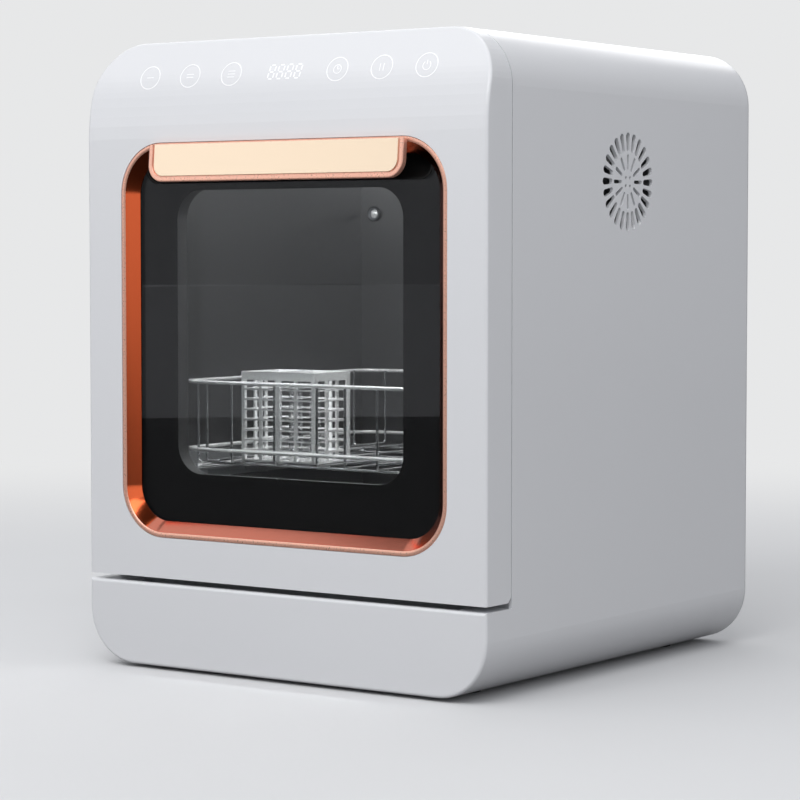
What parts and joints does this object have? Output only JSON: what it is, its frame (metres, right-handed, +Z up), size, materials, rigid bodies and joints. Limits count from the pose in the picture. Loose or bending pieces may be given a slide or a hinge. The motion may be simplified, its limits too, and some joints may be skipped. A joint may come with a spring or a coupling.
{
  "type": "countertop dishwasher",
  "caption": "Countertop dishwasher: white rounded casing, drop-down window door with copper bezel and handle, sliding wire rack, lift-out cutlery basket, spray arm and side drying vent.",
  "frame": {"origin": "centre of the footprint, on the worktop plane under the feet", "axes": "+X to the right seen from the front, -Y out of the door front, +Z up"},
  "size_m": [0.4, 0.4284, 0.52],
  "materials": {
    "shell_white": "satin white",
    "frame_grey": "moulded",
    "cover_grey": "moulded",
    "steel": "satin",
    "bright_steel": "polished",
    "dark_plastic": "moulded",
    "mid_plastic": "moulded",
    "pale_plastic": "moulded",
    "rubber_black": "soft",
    "seal_grey": "soft",
    "lamp_lens": "frosted",
    "brass_inlet": "turned",
    "copper_trim": "metallised copper",
    "gold_plate": "metallised cream gold",
    "glass_dark": "tinted",
    "glass_clear": "clear",
    "border_black": "printed black",
    "board_green": "circuit board"
  },
  "bodies": {
    "casing": {"outer_casing": "shell_white", "front_frame": "frame_grey", "back_cover": "cover_grey", "cover_screws": "bright_steel", "base_pan": "dark_plastic", "rubber_feet": "rubber_black", "wash_tub": "steel", "tub_gasket": "seal_grey", "rack_rails": "steel", "tub_lamp": "lamp_lens", "sump": "mid_plastic", "spray_post": "mid_plastic", "heating_element": "steel", "fan_frame": "dark_plastic", "fan_gasket": "seal_grey", "hinge_brackets": "steel", "latch_housing": "dark_plastic", "pump_volute": "mid_plastic", "pump_motor": "steel", "pump_elbow": "rubber_black", "drain_pump": "mid_plastic", "drain_hose": "rubber_black", "drain_outlet": "mid_plastic", "water_inlet": "pale_plastic", "inlet_valve": "pale_plastic", "fill_hose": "pale_plastic", "power_inlet": "dark_plastic", "power_board": "board_green", "level_sensor": "pale_plastic"},
    "door": {"door_shell": "shell_white", "door_liner": "steel", "window_bezel": "copper_trim", "door_glass": "glass_dark", "glass_border": "border_black", "window_spacer": "seal_grey", "inner_glass": "glass_clear", "finger_pocket": "border_black", "handle_frame": "copper_trim", "handle_plate": "gold_plate", "control_board": "board_green", "touch_pads": "brass_inlet", "display_module": "dark_plastic", "hinge_leaves": "steel", "hinge_pins": "bright_steel", "door_strike": "bright_steel"},
    "rack": {"rack_loops": "bright_steel", "rack_runners": "bright_steel", "rack_cross_wires": "bright_steel", "rack_long_wires": "bright_steel", "rack_tines": "bright_steel"},
    "basket": {"cutlery_basket": "bright_steel", "basket_divider": "bright_steel"},
    "sprayer": {"spray_arm": "mid_plastic"},
    "filter": {"filter_cup": "steel"},
    "fan": {"fan_rotor": "dark_plastic"},
    "impeller": {"pump_impeller": "pale_plastic"}
  },
  "joints": [
    {"name": "door_hinge", "type": "hinge", "parent": "casing", "child": "door", "pos_m": [0, -0.19775, 0.085], "axis": [1, 0, 0], "range_deg": [0, 90]},
    {"name": "rack_slide", "type": "slide", "parent": "casing", "child": "rack", "axis": [0, -1, 0], "range_m": [0, 0.171]},
    {"name": "basket_lift", "type": "slide", "parent": "rack", "child": "basket", "axis": [0, 0, 1], "range_m": [0, 0.12]},
    {"name": "spray_arm_spin", "type": "hinge", "parent": "casing", "child": "sprayer", "pos_m": [0, -0.01225, 0.12], "axis": [0, 0, 1], "continuous": true},
    {"name": "filter_turn", "type": "hinge", "parent": "casing", "child": "filter", "pos_m": [0, -0.01225, 0.1], "axis": [0, 0, 1], "range_deg": [0, 90]},
    {"name": "fan_spin", "type": "hinge", "parent": "casing", "child": "fan", "pos_m": [0.175, 0.00375, 0.404], "axis": [1, 0, 0], "continuous": true},
    {"name": "pump_spin", "type": "hinge", "parent": "casing", "child": "impeller", "pos_m": [0.07, -0.01225, 0.0587], "axis": [1, 0, 0], "continuous": true}
  ],
  "couplings": [
    {"joint": "rack_slide", "follows": "door_hinge", "m_per_rad": 0.108}
  ]
}
